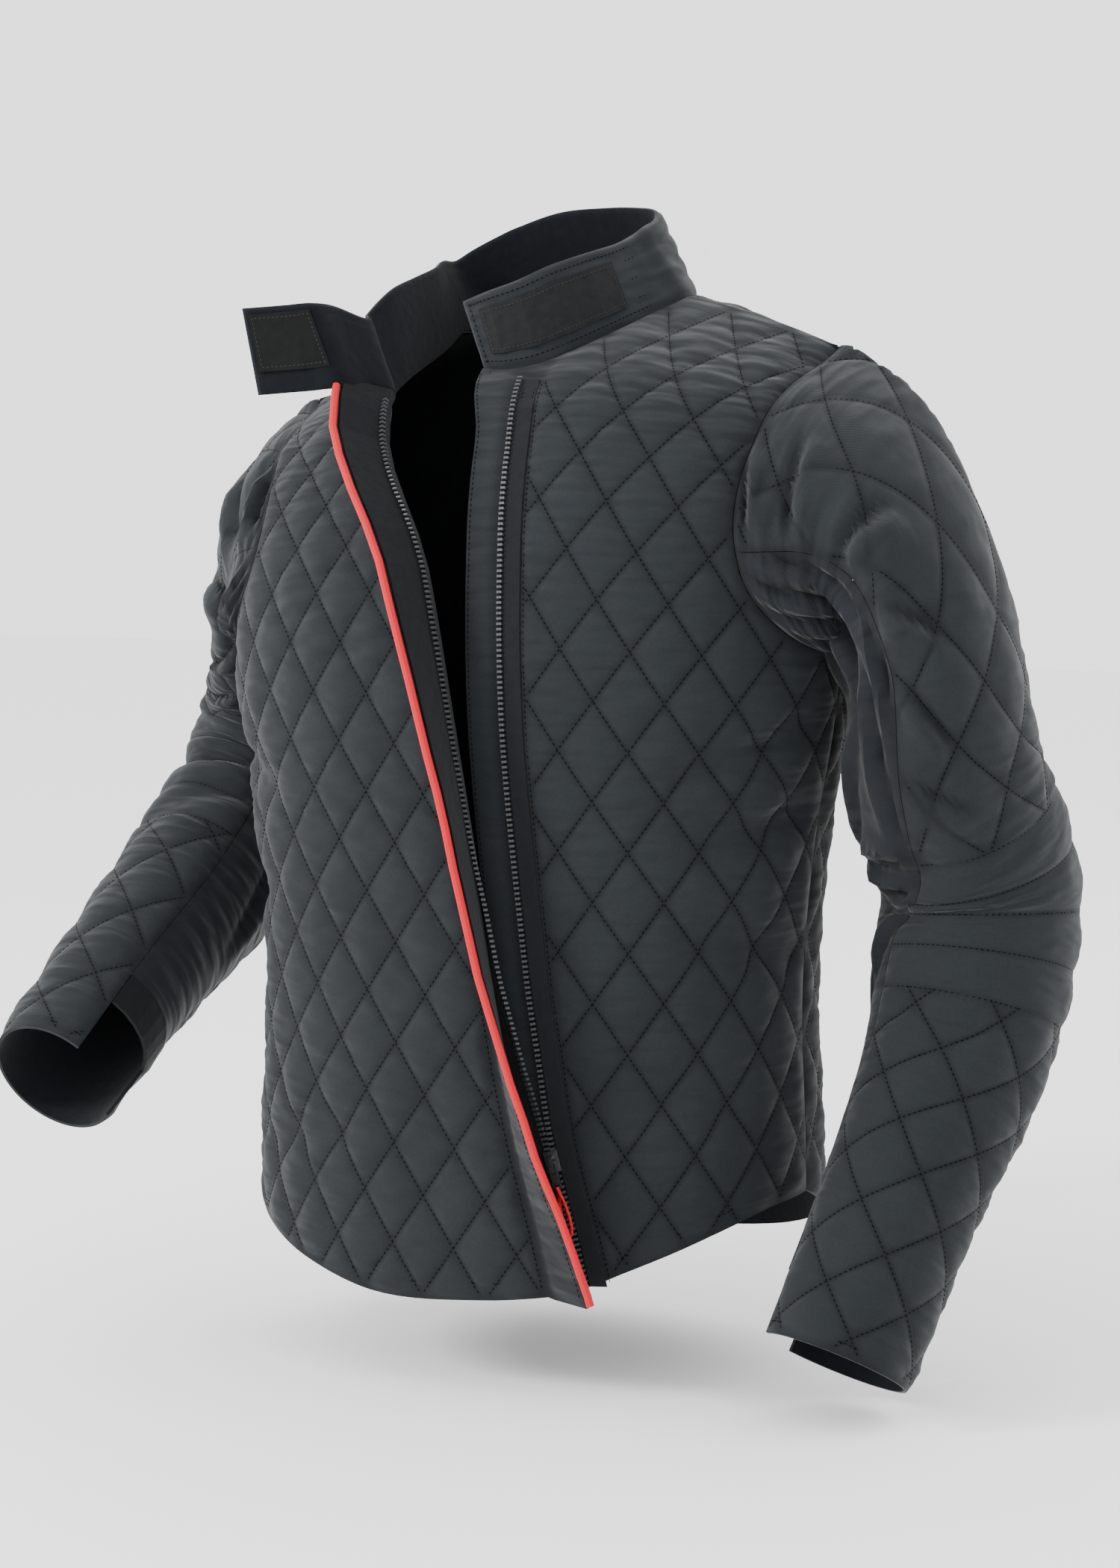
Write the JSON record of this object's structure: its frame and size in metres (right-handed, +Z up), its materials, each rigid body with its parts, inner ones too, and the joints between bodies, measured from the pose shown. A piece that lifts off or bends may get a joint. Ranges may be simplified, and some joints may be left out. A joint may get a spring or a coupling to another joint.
{
  "type": "fencing jacket",
  "caption": "Quilted fencing jacket in its worn shape: stand collar with hook and loop tab, open front zip, piped flap, long sleeves, hollow body.",
  "frame": {"origin": "middle of the neck opening, level with the inner ends of the shoulder seams", "axes": "+Z up, -Y the way the wearer faces, +X the wearer's left"},
  "size_m": [0.721, 0.396, 0.768],
  "materials": {
    "quilted_cloth": "matt quilted cloth",
    "plain_twill": "matt twill",
    "facing_cloth": "matt cloth",
    "zip_tape_cloth": "woven tape",
    "zip_teeth": "moulded",
    "dark_metal": "dark satin",
    "red_piping": "smooth braid",
    "red_cord": "braided cord",
    "loop_tape": "fuzzy pile",
    "hook_tape": "matt hooks"
  },
  "bodies": {
    "jacket": {"front_left": "quilted_cloth", "front_right": "quilted_cloth", "back": "quilted_cloth", "sleeve_left_outer": "quilted_cloth", "sleeve_right_outer": "quilted_cloth", "sleeve_left_inner": "plain_twill", "sleeve_right_inner": "plain_twill", "cuff_band_left": "plain_twill", "cuff_band_right": "plain_twill", "facing_right": "facing_cloth", "zip_tape_left": "zip_tape_cloth", "zip_tape_right": "zip_tape_cloth", "zip_chain_left": "zip_teeth", "zip_chain_right": "zip_teeth", "zip_chain_closed": "zip_teeth", "piping_right": "red_piping", "collar": "quilted_cloth", "collar_patch_loop": "loop_tape", "collar_patch_hook": "hook_tape", "zip_slider": "dark_metal"},
    "pull": {"zip_pull": "dark_metal", "pull_cord": "red_cord"}
  },
  "joints": [
    {"name": "pull_hinge", "type": "hinge", "parent": "jacket", "child": "pull", "pos_m": [0.0731, -0.1885, -0.5609], "axis": [-0.9424, -0.2041, -0.2651], "range_deg": [0, 140], "deforming": ["pull_cord"]}
  ]
}
